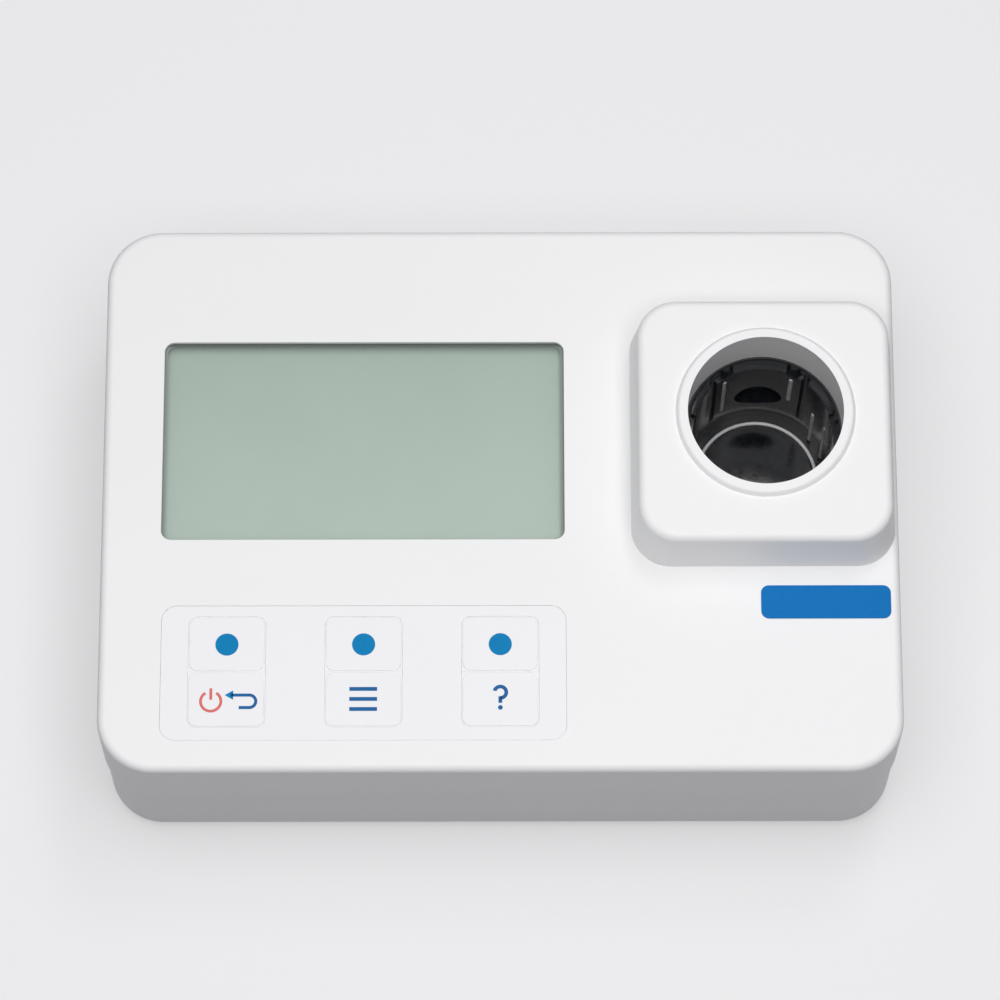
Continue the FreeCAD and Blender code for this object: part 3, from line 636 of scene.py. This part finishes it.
# %% Values
class Value:
    """A number that changes over a surface. Sums on it add Math nodes."""

    def __init__(self, finish, socket):
        self.finish = finish
        self.socket = socket

    def sum(self, operation, first, second):
        return self.finish.add("ShaderNodeMath", {"operation": operation}, {0: first, 1: second})

    def __add__(self, other):
        return self.sum("ADD", self, other)

    def __radd__(self, other):
        return self.sum("ADD", other, self)

    def __sub__(self, other):
        return self.sum("SUBTRACT", self, other)

    def __rsub__(self, other):
        return self.sum("SUBTRACT", other, self)

    def __mul__(self, other):
        return self.sum("MULTIPLY", self, other)

    def __rmul__(self, other):
        return self.sum("MULTIPLY", other, self)

    def above(self, limit):
        return self.sum("GREATER_THAN", self, limit)


def paint(red, green, blue):
    """A colour as a screen shows it, 0 to 255, as the shader wants it."""
    shares = [part / 255 for part in (red, green, blue)]
    return [part / 12.92 if part <= 0.04045 else ((part + 0.055) / 1.055) ** 2.4 for part in shares]


# %% Finishes
class Finish:
    """A material that is built up node by node round one shader."""

    def __init__(self, name, colour, roughness, **fixed):
        self.material = bpy.data.materials.new(name)
        self.material.use_nodes = True
        self.tree = self.material.node_tree
        self.shader = self.tree.nodes["Principled BSDF"]
        self.colour = (*colour, 1)
        self.set("Base Color", self.colour)
        self.set("Roughness", roughness)
        for socket, value in fixed.items():
            self.set(socket.replace("_", " "), value)

    def put(self, socket, value):
        if isinstance(value, Value):
            self.tree.links.new(value.socket, socket)
        else:
            socket.default_value = value

    def set(self, name, value):
        self.put(self.shader.inputs[name], value)

    def add(self, kind, settings, sockets, output=0):
        node = self.tree.nodes.new(kind)
        for name, value in settings.items():
            setattr(node, name, value)
        for name, value in sockets.items():
            self.put(node.inputs[name], value)
        return Value(self, node.outputs[output])

    def place(self, stretch=(1, 1, 1)):
        here = self.add("ShaderNodeTexCoord", {}, {}, "Object")
        if stretch == (1, 1, 1):
            return here
        return self.add("ShaderNodeMapping", {}, {"Vector": here, "Scale": stretch})

    def grain(self, size, detail=2, stretch=(1, 1, 1)):
        """A cloudy pattern from 0 to 1 whose patches are about size millimetres wide."""
        sockets = {"Vector": self.place(stretch), "Scale": 1 / (size * MM), "Detail": detail}
        return self.add("ShaderNodeTexNoise", {}, sockets)

    def blend(self, share, first, second):
        """A colour between two, by share."""
        sockets = {0: share, 6: (*first, 1), 7: (*second, 1)}
        return self.add("ShaderNodeMix", {"data_type": "RGBA"}, sockets, 2)

    def relief(self, height, depth, strength=1.0):
        """Turns a height from 0 to 1 into dents and rises of depth millimetres."""
        sockets = {"Height": height, "Distance": depth * MM, "Strength": strength}
        self.set("Normal", self.add("ShaderNodeBump", {}, sockets))

    def cover(self, *pieces):
        for piece in pieces:
            piece.data.materials.clear()
            piece.data.materials.append(self.material)


print("a mid grey", [round(part, 3) for part in paint(128, 128, 128)])

# %% [markdown]
# ## Moulded white plastic
#
# The casing is a warm white plastic with the fine matt skin that an eroded mould leaves. A single flat
# colour would look like paper. So the colour drifts by a hair over a few centimetres, the gloss changes in
# small patches, and a very shallow grain breaks the highlights.

# %% Casing, panel and keys
def moulded(name, colour, grain_size, roughness):
    finish = Finish(name, paint(*colour), roughness, IOR=1.5, Specular_IOR_Level=0.3)
    drift = finish.grain(40, detail=3)
    darker = [part - 4 for part in colour]
    finish.set("Base Color", finish.blend(drift, paint(*darker), paint(*colour)))
    fine = finish.grain(grain_size, detail=3)
    finish.set("Roughness", roughness - 0.06 + 0.12 * finish.grain(2.5))
    finish.relief(fine, 0.006)
    return finish


casing_white = moulded("casing_white", (240, 240, 240), 0.35, 0.42)
panel_white = moulded("panel_white", (241, 241, 243), 0.22, 0.5)
key_white = moulded("key_white", (241, 241, 243), 0.22, 0.48)
frame_white = moulded("frame_white", (232, 232, 232), 0.3, 0.3)
casing_white.cover(casing_top, casing_bottom, cover)
panel_white.cover(panel)
key_white.cover(*[cap for cap, x, y in key_caps.values()])
frame_white.cover(floor_ring)
print("white pieces covered")

# %% Inks
def ink(name, colour):
    finish = Finish(name, paint(*colour), 0.5, Specular_IOR_Level=0.1)
    deeper = [part * 0.9 for part in colour]
    finish.set("Base Color", finish.blend(finish.grain(0.6, detail=4), paint(*deeper), paint(*colour)))
    finish.relief(finish.grain(0.15), 0.003)
    return finish


blue_ink = ink("blue_ink", (0, 132, 192))
slate_ink = ink("slate_ink", (34, 104, 164))
red_ink = ink("red_ink", (230, 122, 114))
label_blue = ink("label_blue", (0, 116, 190))
border_grey_and_painted_shade = ink("border_grey_and_painted_shade", (104, 112, 107))
# The back strip of the border is darker: painted shade under the back wall of the opening.
height = border_grey_and_painted_shade.add("ShaderNodeSeparateXYZ", {}, {"Vector": border_grey_and_painted_shade.place()}, "Y")
back = height.above((DISPLAY[1] + DISPLAY_SIZE[1] / 2 - BORDER_BACK) * MM)
border_grey_and_painted_shade.set("Base Color", border_grey_and_painted_shade.blend(back, paint(140, 148, 142), paint(104, 112, 107)))
for body, marks in prints.items():
    slate_ink.cover(*marks)
blue_ink.cover(*[marks[0] for body, marks in prints.items() if body.startswith("soft")], head)
red_ink.cover(power_mark)
label_blue.cover(label_plate)
border_grey_and_painted_shade.cover(border)

# %% [markdown]
# ## Black parts and rubbers
#
# The holder is polished, so it shows its shape by what it mirrors. The optics behind it are matt, to keep
# stray light down. Rubber is darker in its pores and has almost no gloss.

# %% Black plastics and rubbers
holder_black = Finish("holder_black", paint(14, 16, 19), 0.1, IOR=1.5, Specular_IOR_Level=0.38)
drawn = holder_black.grain(1.6, detail=3, stretch=(1, 1, 0.06))
holder_black.set("Base Color", holder_black.blend(drawn, paint(10, 12, 16), paint(38, 40, 44)))
holder_black.set("Roughness", 0.06 + 0.16 * drawn)
holder_black.relief(drawn, 0.02)
holder_black.cover(holder)

# The ribs are pale grey, as painted highlights for bright streaks. Their brightness changes in patches of
# about 5 mm.
rib_painted_highlight = Finish("rib_painted_highlight", paint(150, 153, 154), 0.3)
highlight_patches = rib_painted_highlight.grain(5, detail=3)
rib_painted_highlight.set("Base Color", rib_painted_highlight.blend(highlight_patches, paint(104, 108, 110), paint(232, 234, 234)))
rib_painted_highlight.relief(rib_painted_highlight.grain(0.4, stretch=(1, 1, 0.2)), 0.004)
rib_painted_highlight.cover(ribs)


def dull(name, colour, grain_size, roughness, depth=0.01):
    finish = Finish(name, paint(*colour), roughness)
    pores = finish.grain(grain_size, detail=4)
    lighter = [min(255, part * 1.12 + 3) for part in colour]
    finish.set("Base Color", finish.blend(pores, paint(*colour), paint(*lighter)))
    finish.set("Roughness", roughness - 0.1 + 0.2 * finish.grain(1.5))
    finish.relief(pores, depth)
    return finish


DULL = {
    "optics_black": ((38, 38, 40), 0.3, 0.75), "seal_rubber": ((44, 44, 46), 0.4, 0.7),
    "foot_rubber": ((72, 72, 75), 0.5, 0.8), "mat_rubber": ((150, 153, 158), 0.5, 0.65),
    "strip_rubber": ((190, 140, 155), 0.25, 0.6), "chip_black": ((48, 48, 50), 0.2, 0.55),
    "switch_black": ((52, 52, 54), 0.2, 0.5), "buzzer_black": ((46, 46, 48), 0.3, 0.5),
}
finishes = {name: dull(name, *facts) for name, facts in DULL.items()}
finishes["foot_rubber"].cover(feet)
print("dull finishes", len(finishes))

# %% Metals
def metal(name, colour, roughness):
    finish = Finish(name, paint(*colour), roughness, Metallic=1.0)
    brushed = finish.grain(0.5, detail=3, stretch=(1, 6, 1))
    finish.set("Roughness", roughness - 0.08 + 0.16 * brushed)
    finish.relief(brushed, 0.003)
    return finish


finishes["screw_steel"] = metal("screw_steel", (205, 205, 208), 0.3)
finishes["can_metal"] = metal("can_metal", (214, 206, 180), 0.28)
finishes["contact_metal"] = metal("contact_metal", (218, 218, 218), 0.25)
finishes["screw_steel"].cover(screws)

# %% Clear parts
pane_clear = Finish("pane_clear", paint(235, 242, 240), 0.04, Alpha=0.12, IOR=1.49)
pane_clear.set("Roughness", 0.03 + 0.03 * pane_clear.grain(6))
finishes["pane_clear"] = pane_clear
for name, colour, alpha in (("optical_glass", (232, 240, 242), 0.35), ("filter_glass", (120, 80, 140), 0.8),
                            ("guide_clear", (225, 230, 230), 0.75), ("lamp_clear", (235, 240, 240), 0.6)):
    clear = Finish(name, paint(*colour), 0.05, Alpha=alpha)
    clear.set("Roughness", 0.03 + 0.06 * clear.grain(2))
    finishes[name] = clear

# %% Display
lcd_green = Finish("lcd_green", paint(160, 181, 167), 0.35)
# The display is darker towards the back: painted shade from the walls of its recess. A faint random cloud
# lies over it.
depth = lcd_green.add("ShaderNodeSeparateXYZ", {}, {"Vector": lcd_green.place()}, "Y")
share = (depth - (DISPLAY[1] - DISPLAY_SIZE[1] / 2) * MM) * (1 / (DISPLAY_SIZE[1] * MM))
cloud = lcd_green.grain(18, detail=2) - 0.5
front_green = paint(161, 182, 166)
painted_shade_green = paint(144, 167, 150)
lcd_green.set("Base Color", lcd_green.blend(share + 0.5 * cloud, front_green, painted_shade_green))
lcd_green.set("Roughness", 0.3 + 0.1 * lcd_green.grain(4))
lcd_green.relief(lcd_green.grain(0.3), 0.002)
finishes["lcd_green"] = lcd_green

# %% Boards and cells
board_green = Finish("board_green", paint(30, 110, 60), 0.35)
pattern = {"offset": 0.37, "squash": 1.6, "squash_frequency": 3}
sockets = {"Vector": board_green.place(), "Scale": 260, "Mortar Size": 0.06,
           "Color1": (1, 1, 1, 1), "Color2": (0.8, 0.8, 0.8, 1), "Mortar": (0, 0, 0, 1)}
tracks = board_green.add("ShaderNodeTexBrick", pattern, sockets, "Fac")
board_green.set("Base Color", board_green.blend(tracks, paint(28, 104, 58), paint(52, 138, 78)))
board_green.set("Roughness", 0.28 + 0.16 * board_green.grain(3))
board_green.relief(tracks, 0.03)
finishes["board_green"] = board_green

cell_jacket = Finish("cell_jacket", paint(62, 66, 74), 0.35, Metallic=0.4)
cloud = cell_jacket.grain(8)
cell_jacket.set("Base Color", cell_jacket.blend(cloud, paint(56, 60, 68), paint(74, 78, 88)))
cell_jacket.set("Roughness", 0.28 + 0.14 * cell_jacket.grain(1.5))
cell_jacket.relief(cell_jacket.grain(0.4), 0.004)
finishes["cell_jacket"] = cell_jacket

# %% Cover the solids
finishes.update(casing_white=casing_white, panel_white=panel_white, key_white=key_white,
                frame_white=frame_white, holder_black=holder_black)
covered = 0
for row in frame["record"]["subparts"]:
    finishes[row["material_slot"]].cover(nodes[row["node"]])
    covered = covered + 1
print("solids covered", covered)

# %% [markdown]
# ## Floor and light
#
# The instrument stands on a pale floor. One large lamp hangs above it, a little to the front, and gives the
# soft shade on its walls. A small one behind it on the right lights the well. The world adds an even level
# from all sides. To the camera and in mirrors, floor and world look paler than the light they give back.

# %% Floor
bpy.ops.object.select_all(action="DESELECT")
bpy.ops.mesh.primitive_plane_add(size=6, location=(0, 0, -0.0002))
floor = settle("floor")
floor_white = Finish("floor_white", paint(222, 222, 224), 0.8)
SEEN_RAYS = ("Is Camera Ray", "Is Glossy Ray", "Is Transmission Ray")
camera_ray, glossy_ray, transmission_ray = [floor_white.add("ShaderNodeLightPath", {}, {}, name)
                                            for name in SEEN_RAYS]
seen = camera_ray + glossy_ray + transmission_ray
floor_white.set("Base Color", floor_white.blend(seen, paint(135, 135, 137), paint(228, 228, 230)))
floor_white.relief(floor_white.grain(3), 0.01)
glow = floor_white.add("ShaderNodeEmission", {}, {"Strength": 1.0})
surface = Value(floor_white, floor_white.shader.outputs[0])
mixed = floor_white.add("ShaderNodeMixShader", {}, {0: 0.4 * seen, 1: surface, 2: glow})
floor_white.put(floor_white.tree.nodes["Material Output"].inputs["Surface"], mixed)
floor_white.cover(floor)

# %% Lamps
def lamp(name, place, size, watts, colour=(1, 1, 1)):
    data = bpy.data.lights.new(name, "AREA")
    data.shape = "RECTANGLE"
    data.size = size[0]
    data.size_y = size[1]
    data.energy = watts
    data.color = colour
    light = bpy.data.objects.new(name, data)
    light.location = place
    light.rotation_euler = (-Vector(place)).to_track_quat("-Z", "Y").to_euler()
    bpy.context.scene.collection.objects.link(light)
    return light


lamp("key_lamp", (0.0, -0.1, 0.7), (0.55, 0.5), 3.35)
lamp("well_lamp", (0.2, 0.36, 0.95), (0.25, 0.25), 1.2)

world = bpy.data.worlds.new("studio")
bpy.context.scene.world = world
world.use_nodes = True
net = world.node_tree
level = net.nodes["Background"]
level.inputs["Color"].default_value = (0.95, 0.95, 1.0, 1)
level.inputs["Strength"].default_value = 0.25
plain = net.nodes.new("ShaderNodeBackground")
plain.inputs["Color"].default_value = (0.93, 0.93, 0.94, 1)
plain.inputs["Strength"].default_value = 1.0
rays = net.nodes.new("ShaderNodeLightPath")
choice = net.nodes.new("ShaderNodeMixShader")
share = rays.outputs[SEEN_RAYS[0]]
for name in SEEN_RAYS[1:]:
    both = net.nodes.new("ShaderNodeMath")
    net.links.new(share, both.inputs[0])
    net.links.new(rays.outputs[name], both.inputs[1])
    share = both.outputs[0]
net.links.new(share, choice.inputs[0])
net.links.new(level.outputs[0], choice.inputs[1])
net.links.new(plain.outputs[0], choice.inputs[2])
net.links.new(choice.outputs[0], net.nodes["World Output"].inputs["Surface"])
bpy.context.scene.view_settings.view_transform = "Standard"
print("lamps ready")
